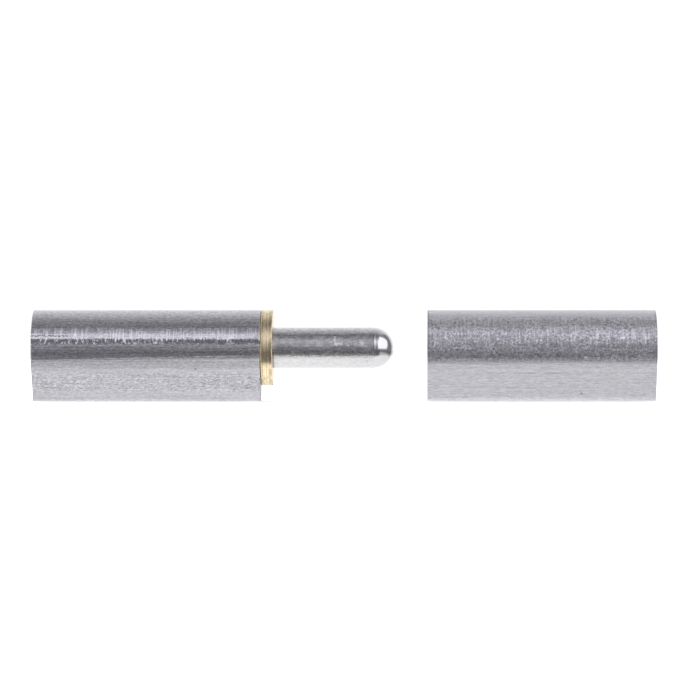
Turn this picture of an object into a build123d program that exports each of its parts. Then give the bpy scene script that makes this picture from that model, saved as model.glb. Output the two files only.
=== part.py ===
"""Weld-on lift-off hinge: two drawn-steel knuckles, a pressed pin and a loose brass ring.

Both knuckles are sawn from one solid bar of teardrop section: a round barrel whose two flat
flanks run down to a narrow flat, the weld face. The fixed knuckle holds the pin in a blind
bore. The brass ring lies on its face and carries the door. The lifting knuckle has a longer
blind bore that turns on the pin and lifts off it.

The halves are drawn apart in line and stand on their weld faces. Millimetres, Z up, X along
the pin from the fixed half to the lifting half. The origin is at the middle of the fixed
half's weld face.
"""

import math
import os

from build123d import *

# Section of the drawn bar
barrel_diameter = 13.0
tail_projection = 2.7  # how far the weld face stands out past the round of the barrel
tail_width = 3.3  # the weld face, across
tail_edge_radius = 0.25

# Knuckles
knuckle_length = 39.3
end_edge_radius = 0.2  # tumbled edges of both sawn ends

# Pin
pin_diameter = 7.0
pin_seat_depth = 20.0  # length pressed into the fixed knuckle
pin_reach = 20.8  # from the ring's outer face to the top of the dome
pin_lead_chamfer = 0.6  # on the pressed end

# Brass ring
ring_thickness = 2.0
ring_edge_chamfer = 0.15

# Bores
drill_point_angle = 118.0
bore_relief = 1.0  # fixed knuckle, drilled past the pin's pressed end
tip_clearance = 2.0  # lifting knuckle, drilled past the dome when the hinge is closed
mouth_chamfer = 0.4

# Fits
running_clearance = 0.05  # radial, lifting knuckle on the pin
ring_clearance = 0.1  # radial, ring on the pin
ring_float = 0.05  # axial, between the ring and the fixed knuckle's face

# Storage
drawn_off_gap = 5.8  # from the dome to the lifting knuckle's face

# Worked out from the sizes above
barrel_radius = barrel_diameter / 2
pin_radius = pin_diameter / 2
axis_height = barrel_radius + tail_projection
flank_angle = math.asin(barrel_radius / math.hypot(axis_height, tail_width / 2)) - math.atan2(
    tail_width / 2, axis_height
)
fixed_face = knuckle_length / 2  # stations along the pin, from the middle of the fixed half
ring_seat = fixed_face + ring_float
ring_face = ring_seat + ring_thickness
pin_tip = ring_face + pin_reach
lifting_face = pin_tip + drawn_off_gap


def bar_section():
    """The teardrop across the bar: round over the top, flanks tangent to it, flat at the tail."""
    touch_y = barrel_radius * math.cos(flank_angle)
    touch_z = -barrel_radius * math.sin(flank_angle)
    with BuildSketch(Plane.YZ) as section:
        with BuildLine():
            ThreePointArc((touch_y, touch_z), (0, barrel_radius), (-touch_y, touch_z))
            Polyline(
                (-touch_y, touch_z),
                (-tail_width / 2, -axis_height),
                (tail_width / 2, -axis_height),
                (touch_y, touch_z),
            )
        make_face()
        fillet(section.vertices().group_by(Axis.Y)[0], tail_edge_radius)
    return section.sketch


def blind_bore(diameter, depth):
    """What a twist drill and a countersink take out, from a mouth at x = 0 towards +X."""
    radius = diameter / 2
    point = radius / math.tan(math.radians(drill_point_angle / 2))
    with BuildPart() as bore:
        with BuildSketch(Plane.XZ):
            with BuildLine():
                Polyline(
                    (0, 0),
                    (0, radius + mouth_chamfer),
                    (mouth_chamfer, radius),
                    (depth, radius),
                    (depth + point, 0),
                    close=True,
                )
            make_face()
        revolve(axis=Axis.X)
    return bore.part


def knuckle(bore_diameter, bore_depth):
    """A sawn length of the bar from x = 0, with a blind bore drilled into the end at x = 0."""
    body = extrude(bar_section(), amount=knuckle_length)
    ends = body.faces().sort_by(Axis.X)
    body = fillet(ends[0].edges() + ends[-1].edges(), end_edge_radius)
    return body - blind_bore(bore_diameter, bore_depth)


def fixed_knuckle():
    """The half that is welded to the frame: a press fit on the pin, its bore facing +X."""
    body = knuckle(pin_diameter, pin_seat_depth + bore_relief)
    return Pos(X=fixed_face) * body.mirror(Plane.YZ)


def lifting_knuckle():
    """The half that is welded to the door, drawn off the pin, its bore facing the dome."""
    bore_diameter = pin_diameter + 2 * running_clearance
    return Pos(X=lifting_face) * knuckle(bore_diameter, pin_reach + tip_clearance)


def hinge_pin():
    """The turned pin: a chamfered end to press in and a full dome on the free end."""
    pressed_end = fixed_face - pin_seat_depth
    with BuildPart() as pin:
        with BuildSketch(Plane.XZ):
            with BuildLine():
                Polyline(
                    (pin_tip, 0),
                    (pressed_end, 0),
                    (pressed_end, pin_radius - pin_lead_chamfer),
                    (pressed_end + pin_lead_chamfer, pin_radius),
                    (pin_tip - pin_radius, pin_radius),
                )
                RadiusArc((pin_tip - pin_radius, pin_radius), (pin_tip, 0), pin_radius)
            make_face()
        revolve(axis=Axis.X)
    return pin.part


def brass_ring():
    """The thrust ring: flush with the barrels, loose on the pin, its edges broken."""
    with BuildSketch(Plane.YZ.offset(ring_seat)) as washer:
        Circle(barrel_radius)
        Circle(pin_radius + ring_clearance, mode=Mode.SUBTRACT)
    ring = extrude(washer.sketch, amount=ring_thickness)
    return chamfer(ring.edges().filter_by(GeomType.CIRCLE), ring_edge_chamfer)


pieces = {
    "fixed_knuckle": fixed_knuckle(),
    "hinge_pin": hinge_pin(),
    "brass_ring": brass_ring(),
    "lifting_knuckle": lifting_knuckle(),
}

os.makedirs("parts", exist_ok=True)
for name, piece in pieces.items():
    export_step(Pos(Z=axis_height) * piece, f"parts/{name}.step")
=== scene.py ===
import math

import bpy
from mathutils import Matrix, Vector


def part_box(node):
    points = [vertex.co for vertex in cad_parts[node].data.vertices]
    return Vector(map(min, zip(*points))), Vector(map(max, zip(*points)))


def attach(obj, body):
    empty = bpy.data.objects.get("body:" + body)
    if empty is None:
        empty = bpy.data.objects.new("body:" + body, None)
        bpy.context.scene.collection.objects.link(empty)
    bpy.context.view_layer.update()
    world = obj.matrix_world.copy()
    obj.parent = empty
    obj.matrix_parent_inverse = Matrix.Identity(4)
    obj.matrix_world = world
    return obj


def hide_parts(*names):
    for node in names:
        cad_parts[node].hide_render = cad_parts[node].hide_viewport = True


bl_info = {
    "name": "Weld-on lift-off hinge",
    "version": (1, 0, 0),
    "blender": (4, 5, 0),
    "location": "3D View > Sidebar > Hinge",
    "description": "Models a weld-on hinge drawn apart: two bar knuckles, pin and brass ring",
    "category": "Object",
}

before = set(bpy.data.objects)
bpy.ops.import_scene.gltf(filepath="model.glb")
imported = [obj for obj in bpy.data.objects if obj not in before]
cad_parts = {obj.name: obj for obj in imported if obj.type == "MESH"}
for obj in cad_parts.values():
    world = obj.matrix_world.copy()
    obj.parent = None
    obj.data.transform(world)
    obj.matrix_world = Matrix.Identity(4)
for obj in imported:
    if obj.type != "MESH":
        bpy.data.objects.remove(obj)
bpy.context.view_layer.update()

fixed_low, fixed_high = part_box("fixed_knuckle")
lifting_low, lifting_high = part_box("lifting_knuckle")
pin_low, pin_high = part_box("hinge_pin")
ring_low, ring_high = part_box("brass_ring")
AXIS = (pin_low.z + pin_high.z) / 2  # height of the pin axis over the weld faces
MM = 1000  # millimetres to a metre
SAME = 1e-6  # metres: points nearer than this are in one place
CUT = 1e-7  # metres: the same for points and a plane that cuts a mesh
BAR_FACETS = 256
BORE_FACETS = 128
PIN_FACETS = 128
RING_FACETS = 192
LANES = 16  # steps across the ring's rim, with a furrow at every other one
DRILL_POINT = math.radians(59)  # half the angle of a drill's point
SMOOTH = math.radians(40)  # edges that turn less are shaded smooth
BLACK = (0, 0, 0, 1)
WHITE = (1, 1, 1, 1)


class BarSizes(bpy.types.PropertyGroup):
    """Sizes of the drawn bar and of what is cut into it."""

    barrel: bpy.props.FloatProperty(
        name="Barrel",
        description="Diameter of the round of the bar",
        default=fixed_high.y - fixed_low.y,
        unit="LENGTH",
    )
    tail: bpy.props.FloatProperty(
        name="Weld face",
        description="Width of the flat at the tip of the tail",
        default=0.0033,
        unit="LENGTH",
    )
    tail_edge: bpy.props.FloatProperty(
        name="Tail edge",
        description="Radius of the two long edges of the weld face",
        default=0.00025,
        unit="LENGTH",
    )
    end_edge: bpy.props.FloatProperty(
        name="End edge",
        description="Tumbled radius round each sawn end",
        default=0.0002,
        unit="LENGTH",
    )
    mouth: bpy.props.FloatProperty(
        name="Countersink",
        description="Width of the chamfer at a bore's mouth",
        default=0.0004,
        unit="LENGTH",
    )
    press_bore: bpy.props.FloatProperty(
        name="Press bore",
        description="Diameter of the fixed knuckle's bore",
        default=0.007,
        unit="LENGTH",
    )
    press_depth: bpy.props.FloatProperty(
        name="Press bore depth",
        description="Depth of the fixed knuckle's bore before the drill point",
        default=0.021,
        unit="LENGTH",
    )
    running_bore: bpy.props.FloatProperty(
        name="Running bore",
        description="Diameter of the lifting knuckle's bore",
        default=0.0071,
        unit="LENGTH",
    )
    running_depth: bpy.props.FloatProperty(
        name="Running bore depth",
        description="Depth of the lifting knuckle's bore before the drill point",
        default=0.0228,
        unit="LENGTH",
    )


class TurnedSizes(bpy.types.PropertyGroup):
    """Sizes of the turned pin and ring."""

    pin: bpy.props.FloatProperty(
        name="Pin",
        description="Diameter of the pin",
        default=pin_high.z - pin_low.z,
        unit="LENGTH",
    )
    pin_lead: bpy.props.FloatProperty(
        name="Pin lead",
        description="Chamfer on the pressed end of the pin",
        default=0.0006,
        unit="LENGTH",
    )
    ring_bore: bpy.props.FloatProperty(
        name="Ring bore",
        description="Diameter of the hole in the brass ring",
        default=0.0072,
        unit="LENGTH",
    )
    ring_edge: bpy.props.FloatProperty(
        name="Ring edge",
        description="Width of the broken edges of the ring",
        default=0.00015,
        unit="LENGTH",
    )
    groove: bpy.props.FloatProperty(
        name="Tool marks",
        description="Depth of the turning marks round the ring",
        default=0.000012,
        unit="LENGTH",
    )


class Finishes(bpy.types.PropertyGroup):
    """Colours of the three metals."""

    steel: bpy.props.FloatVectorProperty(
        name="Drawn steel",
        description="Colour of the bright drawn bar",
        subtype="COLOR",
        size=3,
        default=(0.572, 0.565, 0.6),
    )
    pin: bpy.props.FloatVectorProperty(
        name="Pin steel",
        description="Colour of the ground pin",
        subtype="COLOR",
        size=3,
        default=(0.72, 0.705, 0.738),
    )
    brass: bpy.props.FloatVectorProperty(
        name="Brass",
        description="Colour of the turned ring",
        subtype="COLOR",
        size=3,
        default=(0.8, 0.685, 0.47),
    )


class Signal:
    """The output of a shader node. Sums written with it add the Math nodes they need."""

    def __init__(self, graph, socket):
        self.graph = graph
        self.socket = socket

    def math(self, operation, *values):
        return self.graph.node("ShaderNodeMath", {"operation": operation}, dict(enumerate(values)))

    def __add__(self, other):
        return self.math("ADD", self, other)

    def __radd__(self, other):
        return self.math("ADD", other, self)

    def __sub__(self, other):
        return self.math("SUBTRACT", self, other)

    def __rsub__(self, other):
        return self.math("SUBTRACT", other, self)

    def __mul__(self, other):
        return self.math("MULTIPLY", self, other)

    def __rmul__(self, other):
        return self.math("MULTIPLY", other, self)

    def __truediv__(self, other):
        return self.math("DIVIDE", self, other)

    def __rtruediv__(self, other):
        return self.math("DIVIDE", other, self)

    def __pow__(self, other):
        return self.math("POWER", self, other)

    def __rpow__(self, other):
        return self.math("POWER", other, self)

    def __abs__(self):
        return self.math("ABSOLUTE", self)

    def at_least(self, low):
        return self.math("MAXIMUM", self, low)

    def above(self, start, full):
        """0 up to start, rising smoothly to 1 at full. A full below start falls instead."""
        low, high = min(start, full), max(start, full)
        rise = self.graph.node(
            "ShaderNodeMapRange",
            {"interpolation_type": "SMOOTHSTEP"},
            {"Value": self, "From Min": low, "From Max": high},
        )
        return rise if full > start else 1 - rise

    def near(self, centre, half_width, soft):
        """1 within half_width of centre, falling to 0 over soft outside it."""
        return abs(self - centre).above(half_width + soft, half_width)

    def bands(self, *rows):
        """Several such bands in one, from rows of centre, half_width, soft and strength."""
        return sum(self.near(*band) * strength for *band, strength in rows)


class Graph:
    """One node tree, filled from Python."""

    def __init__(self, tree):
        self.tree = tree
        tree.nodes.clear()

    def node(self, kind, settings=None, inputs=None, output=0):
        """Adds a node: its settings first, then values or links by socket name or number."""
        made = self.tree.nodes.new(kind)
        for name, value in (settings or {}).items():
            if name == "stops":
                self._set_stops(made.color_ramp, value)
            else:
                setattr(made, name, value)
        for name, value in (inputs or {}).items():
            if isinstance(value, Signal):
                self.tree.links.new(value.socket, made.inputs[name])
            else:
                made.inputs[name].default_value = value
        return Signal(self, made.outputs[output]) if made.outputs else made

    @staticmethod
    def _set_stops(ramp, stops):
        while len(ramp.elements) < len(stops):
            ramp.elements.new(0.5)
        for element, (position, grey) in zip(ramp.elements, stops):
            element.position = position
            element.color = (grey, grey, grey, 1)

    def place(self):
        """The point on the piece in millimetres, measured from the pin axis over the origin."""
        point = self.node("ShaderNodeTexCoord", output="Object")
        return self.node(
            "ShaderNodeMapping",
            {"vector_type": "POINT"},
            {"Vector": point, "Location": (0, 0, -AXIS * MM), "Scale": (MM, MM, MM)},
        )

    def split(self, vector):
        parts = self.node("ShaderNodeSeparateXYZ", None, {0: vector})
        outputs = parts.socket.node.outputs
        return [Signal(self, outputs[name]) for name in ("X", "Y", "Z")]

    def grain(self, place, per_mm, detail=3, roughness=0.5, seed=0, distortion=0):
        """Noise from 0 to 1 round 0.5, with so many features a millimetre along X, Y and Z."""
        squeezed = self.node(
            "ShaderNodeMapping",
            {"vector_type": "POINT"},
            {"Vector": place, "Scale": per_mm, "Location": (seed * 7.3, seed * 3.1, seed * 5.7)},
        )
        return self.node(
            "ShaderNodeTexNoise",
            {"noise_dimensions": "3D", "normalize": True},
            {
                "Vector": squeezed,
                "Scale": 1,
                "Detail": detail,
                "Roughness": roughness,
                "Distortion": distortion,
            },
        )

    def dots(self, place, spacing_mm, size, share, seed=0):
        """Round specks in a random share of cells, as a mask from 0 to 1."""
        count = 1 / spacing_mm
        cells = self.node(
            "ShaderNodeMapping",
            {"vector_type": "POINT"},
            {
                "Vector": place,
                "Scale": (count, count, count),
                "Location": (seed * 1.7, seed * 2.9, seed * 4.1),
            },
        )
        found = self.node(
            "ShaderNodeTexVoronoi", {"feature": "F1"}, {"Vector": cells, "Scale": 1}
        )
        colour = Signal(self, found.socket.node.outputs["Color"])
        lot = self.split(colour)[0]
        return found.above(size, size * 0.4) * lot.above(share, share * 0.9)

    def tint(self, factor, first, second):
        """A colour between two, by a signal from 0 to 1."""
        return self.node(
            "ShaderNodeMix",
            {"data_type": "RGBA", "blend_type": "MIX"},
            {0: factor, 6: first, 7: second},
            output=2,
        )

    def dressed(self, colour, roughness, height):
        """Ends the tree in a metal with that colour, roughness and relief in millimetres."""
        normal = self.node(
            "ShaderNodeBump", None, {"Strength": 1, "Distance": 1 / MM, "Height": height}
        )
        shader = self.node(
            "ShaderNodeBsdfPrincipled",
            None,
            {"Base Color": colour, "Metallic": 1, "Roughness": roughness, "Normal": normal},
        )
        self.node("ShaderNodeOutputMaterial", None, {"Surface": shader})


def shade(colour, factor):
    """The colour times a factor, opaque."""
    return (*(min(1, part * factor) for part in colour[:3]), 1)


def new_material(name):
    """An empty material and the graph to fill it."""
    material = bpy.data.materials.new(name)
    material.use_nodes = True
    return material, Graph(material.node_tree)


def span(low, high):
    """The middle and half the length of a piece along the pin, in millimetres."""
    return (low + high) / 2 * MM, (high - low) / 2 * MM


def sawn_ends(graph, place, x, middle, half):
    """A mask for a bar's two sawn ends, and the saw's lines across them."""
    lines = graph.grain(place, (0.5, 0.22, 5.5), detail=4, roughness=0.7, seed=9)
    return 1 - x.near(middle, half - 0.1, 0.06), lines


def toned(graph, colour, tone):
    """The colour, from half as light at a tone of 0.5 to half as light again at 1.5."""
    return graph.tint(tone.above(0.5, 1.5), shade(colour, 0.5), shade(colour, 1.5))


def scratched_bar(colour):
    """The fixed half's finish: bright, scratched across, with one long torn die mark in front and
    painted highlight and shade.

    Here and in the other finishes heights are in millimetres over the pin axis.
    """
    steel, graph = new_material("scratched_bar_steel")
    place = graph.place()
    x, y, z = graph.split(place)
    middle, half = span(fixed_low.x, fixed_high.x)
    ends, saw_lines = sawn_ends(graph, place, x, middle, half)
    front = y.above(0.5, -0.5) * (1 - ends)
    flank = z.above(-3.2, -3.9) * (1 - ends)
    strip = z.near(-2.6, 0.7, 0.4)  # the smooth run between the dark front and the flank

    die_lines = graph.grain(place, (0.06, 3.2, 3.2), detail=5, roughness=0.7, seed=1)
    mottle = graph.grain(place, (1.5, 3.6, 3.6), detail=5, roughness=0.75, seed=2)
    blotches = graph.grain(place, (0.16, 0.5, 0.5), detail=3, seed=3)
    pits = graph.dots(place, 2.9, 0.1, 0.25, seed=6)
    scale = graph.grain(place, (1.8, 4.4, 4.4), detail=4, roughness=0.65, seed=5, distortion=0.8)
    scaled = flank * (0.4 + z.near(-5.9, 1.1, 0.9) * 0.8)
    cuts = graph.grain(place, (2.8, 0.12, 0.12), detail=5, roughness=0.8, seed=4)
    scratched = front * z.above(1.3, 1.6) * z.above(4.1, 2.4) * blotches.above(0.3, 0.5)
    scratches = cuts.above(0.505, 0.57) * scratched

    # The die mark: a step down along the bar, torn open here and there, with a notch at its start
    waver = graph.grain(place, (0.9, 0.01, 0.01), detail=5, roughness=0.75, seed=7)
    ledge = z + (waver - 0.5) * 1.1
    tears = graph.grain(place, (2.2, 0.9, 0.9), detail=4, roughness=0.7, seed=8)
    torn = front * z.near(1.15, 0.4, 0.2) * tears.above(0.52, 0.58) * blotches.above(0.4, 0.5)
    step = front * ledge.above(1.62, 0.75) * (1 - torn)
    shaded_shelf = front * ledge.near(1.1, 0.35, 0.2) * (1 - torn)
    start = x.above(middle - half + 7.65, middle - half + 6.15)
    notch = front * start * ledge.near(2.04, 0.04, 0.1) * tears.above(0.42, 0.5)

    # Below an edge that climbs along the bar the round is worn flatter, down to the flank
    over_edge = z.at_least(-3.62) - (x - middle) * 0.024 + (waver - 0.5) * 0.2 + 1.66
    sunk = front * (0 - over_edge).at_least(0)

    height = (
        (die_lines + mottle - 1) * (0.035 - strip * 0.02)
        - scratches * 0.012
        + (scale - 0.5) * 0.05 * scaled
        - pits * 0.03
        - step * 0.19
        - notch * 0.03
        + (saw_lines - 0.5) * 0.06 * ends
        - sunk * (0.14 + (x - middle) * 0.0022)
    )
    roughness = (
        0.25
        + (die_lines - 0.5) * 0.16
        + (blotches - 0.5) * 0.12
        + flank * 0.08
        + pits * 0.2
    )
    # Darker towards the far end, in the rows of the strip light
    darker_end = x.above(middle + half - 1.15, middle + half - 0.75) * z.near(2.3, 1, 0.4)
    tone = (
        1
        + (die_lines - 0.5) * 0.5
        + (mottle - 0.5) * (0.5 + (1 - flank) * (1 - strip * 0.6) * 1.1)
        + (scale - 0.5) * 1.4 * scaled
        # Painted highlight and shade: bands along the front, lighter or darker by height
        + front
        * z.bands(
            (3.1, 0.5, 0.4, -0.14),
            (2, 0.2, 0.45, 0.16),
            (0, 0.9, 0.5, -0.08),
            (-2.05, 0.15, 0.15, 0.1),
        )
        # Painted glints on the tears
        + torn * 0.3
        # Painted shade under the die mark's step
        - shaded_shelf * 0.3
        - front * darker_end * 0.3
        # Painted shade in the notch at the die mark's start
        - notch * 0.6
        - flank * 0.04
        # Painted highlight along the edges of the weld face
        + flank * z.above(-8.6, -9.3) * 0.15
        + (saw_lines - 0.5) * ends
        - sunk.above(0, 0.15) * (1 - flank) * 0.25
    )
    # Scratches and tears are real marks, painted near white as glints
    scratched_and_glinting = graph.tint(
        scratches * 0.65 + torn * 0.3, toned(graph, colour, tone), shade(colour, 1.75)
    )
    spotted = graph.tint(pits * 0.7, scratched_and_glinting, shade(colour, 0.3))
    graph.dressed(spotted, roughness, height)
    return steel


def grained_bar(colour, bore):
    """The lifting half's finish: duller and grained all over, with three rub marks in front and
    painted shade and highlight.
    """
    steel, graph = new_material("grained_bar_steel")
    place = graph.place()
    x, y, z = graph.split(place)
    middle, half = span(lifting_low.x, lifting_high.x)
    along = x - (middle - half)  # from the bore's mouth
    ends, saw_lines = sawn_ends(graph, place, x, middle, half)
    front = y.above(0.5, -0.5) * (1 - ends)
    barrel = z.above(-2.7, -1.9) * z.above(5.9, 4.4) * (1 - ends)

    # The bore's wall: painted shade, darker the further in
    bore_radius = bore / 2 * MM
    wall = ((y * y + z * z) ** 0.5).above(bore_radius + 0.2, bore_radius + 0.05)
    inside = wall * (0.5 + along.above(0, 6) * 0.48) * along.above(25, 24)

    grain = graph.grain(place, (2.2, 2.8, 2.8), detail=5, roughness=0.8, seed=11)
    flecks = graph.grain(place, (3.2, 1.8, 1.8), detail=4, roughness=0.75, seed=12)
    strokes = graph.grain(place, (3, 0.35, 0.35), detail=4, roughness=0.8, seed=18)
    die_lines = graph.grain(place, (0.05, 3.6, 3.6), detail=5, roughness=0.7, seed=13)
    ripple = graph.grain(place, (0.9, 3.4, 3.4), detail=5, roughness=0.7, seed=14)
    patches = graph.grain(place, (0.3, 0.6, 0.6), detail=2, seed=19)
    uneven = 0.6 + patches.above(0.4, 0.6) * 0.75
    nicks = graph.dots(place, 2.3, 0.1, 0.2, seed=15) * barrel
    glints = flecks.above(0.55, 0.66) * barrel * z.above(-1.9, -0.4)
    # Painted glints: short bright strokes on the barrel
    glint_strokes = strokes.above(0.57, 0.63) * flecks.above(0.5, 0.55) * barrel * z.above(-0.5, 0.5)

    # Three rub marks on the flank, each a groove with a ridge over it
    breaks = graph.grain(place, (1.6, 3, 3), detail=3, roughness=0.7, seed=17)
    rubs = front * along.bands((12.1, 1.1, 0.5, 0.5), (16.9, 1.3, 0.5, 1), (21.5, 1.2, 0.5, 0.9))
    groove = rubs * z.near(-4.3, 0.03, 0.12) * breaks.above(0.3, 0.45)
    ridge = rubs * z.near(-4.05, 0.03, 0.12)

    # One pit on the flank, and two painted glints as bright specks on the barrel
    pit = along.near(26.45, 0.12, 0.18) * z.near(-7.87, 0.02, 0.12) * front
    low_glint = along.near(27, 0.2, 0.12) * z.near(-1.65, 0.08, 0.12)
    high_glint = along.near(33.3, 0.35, 0.15) * z.near(1.7, 0.04, 0.12)
    glint_specks = (low_glint + high_glint) * front

    height = (
        (grain - 0.5) * (0.035 * barrel + 0.015)
        + (die_lines - 0.5) * 0.03
        + (ripple - 0.5) * 0.05 * (1 - barrel)
        - glints * 0.01
        - nicks * 0.03
        - groove * 0.014
        - pit * 0.08
        + (saw_lines - 0.5) * 0.06 * ends
    )
    roughness = 0.35 + (grain - 0.5) * 0.25 + (die_lines - 0.5) * 0.1
    rim = z.above(-3, -2.2) * (1 - x.near(middle, half - 0.3, 0.1))
    slant = z + (x - middle) * 0.02
    tone = (
        1
        + (grain - 0.5) * (2.3 * barrel * uneven + 0.4)
        + (strokes - 0.5) * 1.3 * barrel * z.above(-0.5, 1)
        + (ripple - 0.5) * 0.65
        + (die_lines - 0.5) * 0.3
        + glints * uneven * 0.45
        # The rub marks are real; their ridges' lightness and grooves' darkness are painted
        # highlight and shade
        + ridge * 0.1
        - groove * 0.14
        # Painted glints
        + glint_specks * 0.9
        - pit * 0.5
        - nicks * 0.3
        # Painted shade: a band across the front, the rounds of the end edges and a band round the
        # axis
        - front * slant.near(1.1, 0.7, 0.4) * 0.16
        - front * rim * 0.3
        - barrel * z.near(-0.6, 1, 0.4) * 0.09
        # Painted highlight on the top and along the edges of the weld face
        + (1 - ends) * (z.above(2.2, 3.2) * 0.07 + z.above(-8.2, -9.3) * 0.25)
        + (saw_lines - 0.5) * ends
        # Painted shade on the flank and a painted highlight where the round meets it
        - (1 - barrel) * z.above(-2.9, -3.5) * 0.06
        + z.near(-2.8, 0.25, 0.25) * 0.05
    )
    # The painted glints, near white
    glinting = graph.tint(
        glint_specks * 0.8 + glint_strokes * 0.8, toned(graph, colour, tone), shade(colour, 1.75)
    )
    # The bore's wall takes its painted shade here
    graph.dressed(graph.tint(inside, glinting, BLACK), roughness, height)
    return steel


def ground_pin(colour, dome):
    """The pin's finish: ground along, bruised in front with painted shade high on the front, and a
    polished dome.
    """
    steel, graph = new_material("ground_pin_steel")
    place = graph.place()
    x, y, z = graph.split(place)
    past = x - dome * MM  # from the edge of the dome
    out = x - ring_high.x * MM  # from the ring
    shank = past.above(0.18, 0.02)
    front = y.above(0.5, -0.5)
    # Painted highlight and shade at the dome's edge: a light line between two dark ones
    dome_edge_light_and_shade = past.bands((0.3, 0.08, 0.06, 0.3), (0.06, 0.05, 0.08, -0.5), (0.6, 0.13, 0.1, -0.12))
    # Painted shade in a blotchy band high on the front, over the strip light's reflection
    shaded_front = front * z.near(1.15, 0.85, 0.5) * shank

    ground = graph.grain(place, (0.8, 5, 5), detail=5, roughness=0.7, seed=21)
    bruises = graph.grain(place, (1.4, 2.2, 2.2), detail=5, roughness=0.75, seed=22)
    blotches = graph.grain(place, (0.5, 0.9, 0.9), detail=3, roughness=0.6, seed=23)
    specks = graph.dots(place, 1.5, 0.12, 0.25, seed=24)
    glints = graph.dots(place, 0.9, 0.12, 0.3, seed=25) * shaded_front

    # Marks in front: where over the axis, where from the ring, and how strong
    marks = (
        ((1.2, 0.55, 0.3), (10.7, 0.06, 0.15), 1),  # a knock across the pin
        ((0.6, 0.12, 0.25), (11.4, 0.45, 0.3), 1),  # its foot along the pin
        ((0.95, 0.3, 0.25), (11.95, 0.05, 0.15), 0.7),  # and the hook at the foot's end
        ((0.75, 0.2, 0.35), (13.2, 0.3, 0.4), 0.5),  # two scuffs
        ((0.75, 0.2, 0.35), (15.3, 0.25, 0.4), 0.6),
    )
    ragged = (bruises - 0.5) * 1.3
    up, along = z + ragged, out + ragged
    struck = sum(
        up.near(*rise) * along.near(*reach) * strength for rise, reach, strength in marks
    )
    knocks = (struck * shank * front).above(0, 1.2)

    height = (
        (ground - 0.5) * 0.02
        + (bruises - 0.5) * 0.03
        - specks * 0.012
        - knocks * 0.02
    ) * shank + (bruises - 0.5) * 0.006
    roughness = 0.16 + (bruises - 0.5) * 0.1 + shank * (0.1 + (ground - 0.5) * 0.15)
    bruised = (bruises - 0.5) * (1.3 - z.above(-1.2, -1.8) * 0.8)
    tone = (
        1
        + ((ground - 0.5) * 0.4 + bruised) * shank
        # Painted shade, blotchy
        - shaded_front * (0.3 + (blotches - 0.5) * 0.5)
        # Painted highlight and shade: bands along the front at set heights
        + front
        * shank
        * z.bands((1.9, 0.08, 0.2, 0.12), (0.3, 0.1, 0.25, 0.1), (-0.6, 0.6, 0.35, -0.16))
        # Painted shade on the dome under its highlight
        - z.near(-0.9, 0.15, 0.45) * past.above(0.3, 0.9) * 0.3
        + knocks * 0.5
        # The painted highlight and shade at the dome's edge, on the front in the strip light's
        # rows
        + dome_edge_light_and_shade * front * z.near(0.95, 1.1, 0.4)
        # Painted shadow of the ring on the pin's lower side, beside the ring
        - out.above(0.3, 0.15) * z.above(-0.3, -1.2) * 0.45
        + glints * 0.5
        - specks * 0.3 * shank
    )
    graph.dressed(toned(graph, colour, tone), roughness, height)
    return steel


def turned_brass(colour):
    """The ring's finish: turning lines round it, a little tarnish, and painted highlight and
    shade.
    """
    brass, graph = new_material("turned_brass")
    place = graph.place()
    x, y, z = graph.split(place)
    out = (y * y + z * z) ** 0.5
    lines = graph.node("ShaderNodeCombineXYZ", None, {0: x * 2.4, 1: out * 2.4, 2: 0.35})
    turning = graph.grain(lines, (1, 1, 1), detail=5, roughness=0.75, seed=31)
    tarnish = graph.grain(place, (1.6, 0.6, 0.6), detail=5, roughness=0.65, seed=32)
    specks = graph.dots(place, 1.1, 0.1, 0.2, seed=33)
    patches = graph.grain(place, (0.5, 0.7, 0.7), detail=3, roughness=0.6, seed=34)
    marked = (turning.above(0.38, 0.62) - 0.5) * (0.25 + patches.above(0.4, 0.65))
    middle, half = span(ring_low.x, ring_high.x)
    rim = ring_high.y * MM
    edges = out.above(rim - 0.3, rim - 0.15) * (1 - x.near(middle, half - 0.17, 0.05))

    height = (turning - 0.5) * 0.03 + (tarnish - 0.5) * 0.035 - specks * 0.01
    roughness = 0.22 + (turning - 0.5) * 0.2 + (tarnish - 0.5) * 0.15 + edges * 0.5
    tone = (
        0.5
        + marked
        + (tarnish - 0.5) * 2.4
        # Painted highlight and shade: bands round the ring at set heights, and darker towards the
        # bottom
        + z.bands(
            (2.85, 0.15, 0.3, -0.14),
            (-1.75, 0.15, 0.25, 0.12),
            (-2.35, 0.05, 0.15, -0.15),
            (-3.2, 0.35, 0.3, 0.16),
        )
        - z.above(-5.2, -6.4) * 0.32
        # Painted highlight on the broken outer edges
        + edges * 0.4
    )
    brown = (colour[0] * 0.72, colour[1] * 0.69, colour[2] * 0.64, 1)
    tarnished_and_shaded = graph.tint(tone.above(0, 1), brown, shade(colour, 1.22))
    spotted = graph.tint(specks * 0.5, tarnished_and_shaded, shade(colour, 0.35))
    graph.dressed(spotted, roughness, height)
    return brass


def deselect_objects():
    for picked in bpy.context.selected_objects:
        picked.select_set(False)


def start_piece(name):
    """Names the primitive just added, puts its place into its mesh and opens it for editing."""
    piece = bpy.context.object
    piece.name = piece.data.name = name
    bpy.ops.object.transform_apply(location=True, rotation=True, scale=True)
    bpy.ops.object.mode_set(mode="EDIT")
    return piece


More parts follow.
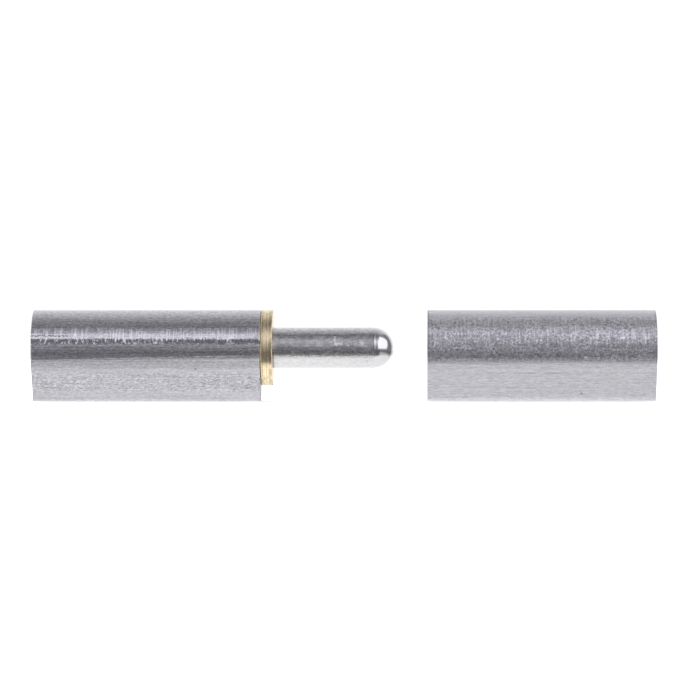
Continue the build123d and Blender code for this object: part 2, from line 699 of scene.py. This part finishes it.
def pick(piece, where, kind="VERT"):
    """Selects just those vertices, or the edges or faces all of whose corners pass."""
    bpy.ops.mesh.select_mode(type=kind)
    bpy.ops.mesh.select_all(action="DESELECT")
    bpy.ops.object.mode_set(mode="OBJECT")
    mesh = piece.data
    wanted = {"VERT": mesh.vertices, "EDGE": mesh.edges, "FACE": mesh.polygons}[kind]
    count = 0
    for part in wanted:
        corners = [part] if kind == "VERT" else [mesh.vertices[i] for i in part.vertices]
        part.select = all(where(corner.co) for corner in corners)
        count += part.select
    bpy.ops.object.mode_set(mode="EDIT")
    if not count:
        raise RuntimeError(f"nothing to pick on {piece.name}")


def extrude_edges(along):
    bpy.ops.mesh.extrude_edges_move(TRANSFORM_OT_translate={"value": along})


def resize_across(x, factor):
    """Resizes what is selected by a factor across the pin axis, but not along it."""
    bpy.ops.transform.resize(value=(1, factor, factor), center_override=(x, 0, AXIS))


def from_axis(point):
    return math.hypot(point.y, point.z - AXIS)


def finish_piece(piece, body, node, metal):
    """Closes the mesh, smooths its round faces and hands the piece over to its body."""
    bpy.ops.mesh.select_all(action="SELECT")
    bpy.ops.mesh.remove_doubles(threshold=SAME)
    bpy.ops.mesh.normals_make_consistent(inside=False)
    bpy.ops.object.mode_set(mode="OBJECT")
    bpy.ops.object.shade_smooth_by_angle(angle=SMOOTH)
    piece.modifiers.new("even_shading", "WEIGHTED_NORMAL").keep_sharp = True
    bpy.ops.object.modifier_apply(modifier="even_shading")
    piece.data.materials.clear()
    piece.data.materials.append(metal)
    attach(piece, body)
    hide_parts(node)


def make_knuckle(name, sizes, mouth, far, bore, depth):
    """Saws a length of teardrop bar from x = mouth to x = far and drills it from the mouth."""
    inward = 1 if far > mouth else -1
    radius = sizes.barrel / 2
    half_tail = sizes.tail / 2
    flank = math.asin(radius / math.hypot(AXIS, half_tail)) - math.atan2(half_tail, AXIS)
    touch = AXIS - radius * math.sin(flank)  # where the round meets the flanks
    half_touch = radius * math.cos(flank)

    def in_mouth(point):
        return abs(point.x - mouth) < SAME

    # The section: a disc cut off where the flanks touch it, and drawn in to the weld face
    deselect_objects()
    bpy.ops.mesh.primitive_circle_add(
        vertices=BAR_FACETS,
        radius=radius,
        fill_type="NGON",
        location=(mouth, 0, AXIS),
        rotation=(0, math.pi / 2, 0),
    )
    piece = start_piece(name)
    bpy.ops.mesh.select_all(action="SELECT")
    bpy.ops.mesh.bisect(
        plane_co=(mouth, 0, touch), plane_no=(0, 0, 1), clear_inner=True, threshold=CUT
    )
    pick(piece, lambda point: point.z < touch + SAME, "EDGE")
    extrude_edges((0, 0, -touch))
    bpy.ops.transform.resize(
        value=(1, half_tail / half_touch, 1), center_override=(mouth, 0, 0)
    )
    pick(piece, lambda point: abs(point.z - touch) < SAME, "EDGE")
    bpy.ops.mesh.dissolve_edges(use_verts=False)
    pick(piece, lambda point: point.z < SAME)
    corner_run = sizes.tail_edge * math.tan((math.pi / 2 - flank) / 2)
    bpy.ops.mesh.bevel(offset_type="OFFSET", offset=corner_run, segments=5, affect="VERTICES")

    # The length of bar, its edges tumbled round at both ends
    bpy.ops.mesh.select_all(action="SELECT")
    bpy.ops.mesh.extrude_region_move(TRANSFORM_OT_translate={"value": (far - mouth, 0, 0)})
    pick(piece, in_mouth, "EDGE")
    bpy.ops.mesh.bevel(offset=sizes.end_edge, segments=4, affect="EDGES")
    pick(piece, lambda point: abs(point.x - far) < SAME, "EDGE")
    bpy.ops.mesh.bevel(offset=sizes.end_edge, segments=4, affect="EDGES")

    # A round hole in the end face
    rim = bore / 2 + sizes.mouth
    pick(piece, in_mouth, "FACE")
    bpy.ops.mesh.delete(type="ONLY_FACE")
    bpy.ops.mesh.select_all(action="DESELECT")
    bpy.ops.mesh.primitive_circle_add(
        vertices=BORE_FACETS,
        radius=rim,
        location=(mouth, 0, AXIS),
        rotation=(0, math.pi / 2, 0),
    )
    pick(piece, in_mouth, "EDGE")
    resize_across(mouth, 1000)  # filling takes points closer than 0.03 mm for one
    bpy.ops.mesh.fill()
    resize_across(mouth, 0.001)

    # The countersink, the wall and the drill point
    pick(piece, lambda point: in_mouth(point) and from_axis(point) < rim + SAME, "EDGE")
    extrude_edges((inward * sizes.mouth, 0, 0))
    resize_across(mouth, bore / 2 / rim)
    extrude_edges((inward * (depth - sizes.mouth), 0, 0))
    extrude_edges((inward * bore / 2 / math.tan(DRILL_POINT), 0, 0))
    bpy.ops.mesh.merge(type="CENTER")
    return piece


class HINGE_OT_knuckles(bpy.types.Operator):
    """Saw both knuckles from teardrop bar, drill their bores and finish them"""

    bl_idname = "hinge.knuckles"
    bl_label = "Knuckles"

    def execute(self, context):
        sizes = context.scene.hinge_bar
        steel = context.scene.hinge_finishes.steel
        fixed = make_knuckle(
            "fixed_bar", sizes, fixed_high.x, fixed_low.x, sizes.press_bore, sizes.press_depth
        )
        metal = scratched_bar(steel)
        finish_piece(fixed, "fixed_half", "fixed_knuckle", metal)
        lifting = make_knuckle(
            "lifting_bar",
            sizes,
            lifting_low.x,
            lifting_high.x,
            sizes.running_bore,
            sizes.running_depth,
        )
        metal = grained_bar(steel, sizes.running_bore)
        finish_piece(lifting, "lifting_half", "lifting_knuckle", metal)
        lifting.visible_glossy = False  # so the dome mirrors the room alone
        return {"FINISHED"}


class HINGE_OT_pin(bpy.types.Operator):
    """Turn the pin with its dome and its chamfered pressed end"""

    bl_idname = "hinge.pin"
    bl_label = "Pin"

    def execute(self, context):
        sizes = context.scene.hinge_turned
        radius = sizes.pin / 2
        centre = pin_high.x - radius
        deselect_objects()
        bpy.ops.mesh.primitive_uv_sphere_add(
            segments=PIN_FACETS,
            ring_count=PIN_FACETS // 2,
            radius=radius,
            location=(centre, 0, AXIS),
            rotation=(0, math.pi / 2, 0),
        )
        pin = start_piece("domed_pin")
        bpy.ops.mesh.select_all(action="SELECT")
        bpy.ops.mesh.bisect(
            plane_co=(centre, 0, AXIS), plane_no=(1, 0, 0), clear_inner=True, threshold=CUT
        )
        pick(pin, lambda point: abs(point.x - centre) < SAME, "EDGE")
        extrude_edges((pin_low.x + sizes.pin_lead - centre, 0, 0))
        extrude_edges((-sizes.pin_lead, 0, 0))
        resize_across(pin_low.x, (radius - sizes.pin_lead) / radius)
        bpy.ops.mesh.edge_face_add()
        metal = ground_pin(context.scene.hinge_finishes.pin, centre)
        finish_piece(pin, "fixed_half", "hinge_pin", metal)
        return {"FINISHED"}


class HINGE_OT_ring(bpy.types.Operator):
    """Turn the brass ring with its broken edges and the tool marks on its rim"""

    bl_idname = "hinge.ring"
    bl_label = "Ring"

    def execute(self, context):
        sizes = context.scene.hinge_turned
        outer = ring_high.y
        inner = sizes.ring_bore / 2
        width = ring_high.x - ring_low.x
        middle = (ring_low.x + ring_high.x) / 2
        deselect_objects()

        # The ring's section over the axis, furrowed at the rim, is spun round the axis
        bpy.ops.mesh.primitive_plane_add(size=1, location=(middle, 0, AXIS + (outer + inner) / 2))
        bpy.context.object.scale = (width, outer - inner, 1)
        bpy.context.object.rotation_euler = (math.pi / 2, 0, 0)
        ring = start_piece("turned_ring")
        bpy.ops.mesh.select_all(action="SELECT")
        bpy.ops.mesh.bevel(offset=sizes.ring_edge, segments=2, affect="VERTICES")
        rim = AXIS + outer - SAME
        pick(ring, lambda point: point.z > rim, "EDGE")
        bpy.ops.mesh.subdivide(number_cuts=LANES - 1)
        step = (width - 2 * sizes.ring_edge) / LANES
        start = ring_low.x + sizes.ring_edge

        def is_furrow(point):
            place = round((point.x - start) / step)
            return point.z > rim and place % 2 == 1

        pick(ring, is_furrow)
        bpy.ops.transform.translate(value=(0, 0, -sizes.groove))
        bpy.ops.mesh.select_all(action="SELECT")
        bpy.ops.mesh.delete(type="ONLY_FACE")
        bpy.ops.mesh.select_all(action="SELECT")
        bpy.ops.mesh.spin(
            steps=RING_FACETS, angle=2 * math.pi, center=(middle, 0, AXIS), axis=(1, 0, 0)
        )
        metal = turned_brass(context.scene.hinge_finishes.brass)
        finish_piece(ring, "ring", "brass_ring", metal)
        return {"FINISHED"}


def studio_sky():
    """Soft studio light: white all round, with the dark of the room and a strip light in front.

    What the metal mirrors depends on the ray's climb from the front: 0 degrees is level towards
    the front, 90 straight up, 180 level to the back, and below the floor it is negative. The
    ends of the hinge mirror the sides: grey on the left, dark on the right but for one softbox.
    """
    world = bpy.data.worlds.new("studio")
    bpy.context.scene.world = world
    world.use_nodes = True
    world.cycles.sampling_method = "NONE"  # only so does each ray tell what it left from
    graph = Graph(world.node_tree)
    ray = graph.node("ShaderNodeTexCoord", output="Generated")
    x, y, z = graph.split(ray)
    climb = graph.node("ShaderNodeMath", {"operation": "ARCTAN2"}, {0: z, 1: 0 - y})
    turn = climb / (2 * math.pi) + 0.5
    glow = [  # climb in degrees, light
        (-180, 1.18),
        (-130, 1.15),
        (-100, 1.15),
        (-60, 1.18),
        (-53, 1.05),
        (-45, 0.24),
        (-30, 0.18),
        (-14, 0.17),
        (0, 0.36),
        (10, 0.44),
        (20, 0.74),
        (28, 0.92),
        (38, 1.0),
        (48, 0.7),
        (60, 0.36),
        (72, 0.24),
        (82, 0.26),
        (92, 0.38),
        (105, 0.58),
        (122, 0.76),
        (140, 0.98),
        (180, 1.12),
    ]
    # A ramp's greys end at 1, so it holds half the light
    stops = [(degrees / 360 + 0.5, light / 2) for degrees, light in glow]
    across = graph.node("ShaderNodeValToRGB", {"stops": stops}, {0: turn}) * 2
    side = abs(x).above(0.45, 0.65)
    dim = 0.5 + x.above(-0.3, 0.3) * 0.35
    beside = 1.1 - z.above(-0.5, -0.3) * y.above(0.75, 0.5) * dim
    softbox = (
        x.above(0.44, 0.5)
        * (x * 0.25 - y * 0.52 - z * 0.23).above(0.02, 0.06)
        * (z * 0.5 - y).above(0.07, 0.13)
        * z.above(-0.13, -0.04)
    )
    level = across * (1 - side) + beside * side + softbox * 1.2
    cool = z.above(-0.75, -0.4) * (1 - y.above(-0.3, 0.2) * 0.6)
    cast = graph.tint(cool, WHITE, (0.98, 0.975, 1.04, 1))
    room = graph.node("ShaderNodeBackground", None, {"Color": cast, "Strength": level})

    # All but reflections get an even white, dimmer for the camera to keep the outline sharp
    seen = graph.node("ShaderNodeLightPath", output="Is Camera Ray")
    even = graph.node(
        "ShaderNodeBackground", None, {"Color": WHITE, "Strength": 1.5 - seen * 0.45}
    )
    mirrored = graph.node("ShaderNodeLightPath", output="Is Glossy Ray")
    both = graph.node("ShaderNodeMixShader", None, {0: mirrored, 1: even, 2: room})
    graph.node("ShaderNodeOutputWorld", None, {"Surface": both})


class HINGE_OT_stage(bpy.types.Operator):
    """Set the pale floor, the soft studio light and the camera"""

    bl_idname = "hinge.stage"
    bl_label = "Stage"

    def execute(self, context):
        deselect_objects()
        bpy.ops.mesh.primitive_plane_add(size=6, location=(0, 0, 0))
        floor = context.object
        floor.name = floor.data.name = "floor"
        floor.visible_glossy = False
        paint, graph = new_material("floor_white")
        shader = graph.node("ShaderNodeBsdfDiffuse", None, {"Color": shade(WHITE, 0.97)})
        graph.node("ShaderNodeOutputMaterial", None, {"Surface": shader})
        floor.data.materials.append(paint)
        studio_sky()

        pixels = 700  # across the picture, both ways
        scale = 5794  # pixels to a metre at the pin axis
        margin = 33.6  # pixels from the picture's left side to the fixed half
        rise = 2.2  # pixels from the picture's middle up to the pin axis
        distance = 0.65  # from the camera to the pin axis
        aside = 0.009  # how far the camera stands to the right of the picture's middle
        film = 36  # millimetres across the camera's sensor
        middle = fixed_low.x + (pixels / 2 - margin) / scale
        height = AXIS - rise / scale
        bpy.ops.object.camera_add(
            location=(middle + aside, -distance, height),
            rotation=(math.pi / 2, 0, math.atan(aside / distance)),
        )
        camera = context.object
        camera.name = "camera"
        camera.data.sensor_width = film
        camera.data.lens = film * math.hypot(distance, aside) * scale / pixels
        camera.data.clip_start = 0.01
        context.scene.camera = camera
        context.scene.view_settings.view_transform = "Standard"
        return {"FINISHED"}


class HINGE_PT_panel(bpy.types.Panel):
    """Sizes, finishes and steps of the hinge"""

    bl_idname = "HINGE_PT_panel"
    bl_label = "Weld-on hinge"
    bl_space_type = "VIEW_3D"
    bl_region_type = "UI"
    bl_category = "Hinge"

    def draw(self, context):
        for group in (
            context.scene.hinge_bar,
            context.scene.hinge_turned,
            context.scene.hinge_finishes,
        ):
            for name in group.__annotations__:
                self.layout.prop(group, name)
        for step in steps:
            self.layout.operator(step.bl_idname)


steps = (HINGE_OT_knuckles, HINGE_OT_pin, HINGE_OT_ring, HINGE_OT_stage)
classes = (BarSizes, TurnedSizes, Finishes, *steps, HINGE_PT_panel)


def register():
    for each in classes:
        bpy.utils.register_class(each)
    bpy.types.Scene.hinge_bar = bpy.props.PointerProperty(type=BarSizes)
    bpy.types.Scene.hinge_turned = bpy.props.PointerProperty(type=TurnedSizes)
    bpy.types.Scene.hinge_finishes = bpy.props.PointerProperty(type=Finishes)


def unregister():
    del bpy.types.Scene.hinge_finishes
    del bpy.types.Scene.hinge_turned
    del bpy.types.Scene.hinge_bar
    for each in reversed(classes):
        bpy.utils.unregister_class(each)


def main():
    register()
    bpy.ops.hinge.knuckles()
    bpy.ops.hinge.pin()
    bpy.ops.hinge.ring()
    bpy.ops.hinge.stage()


if __name__ == "__main__":
    main()
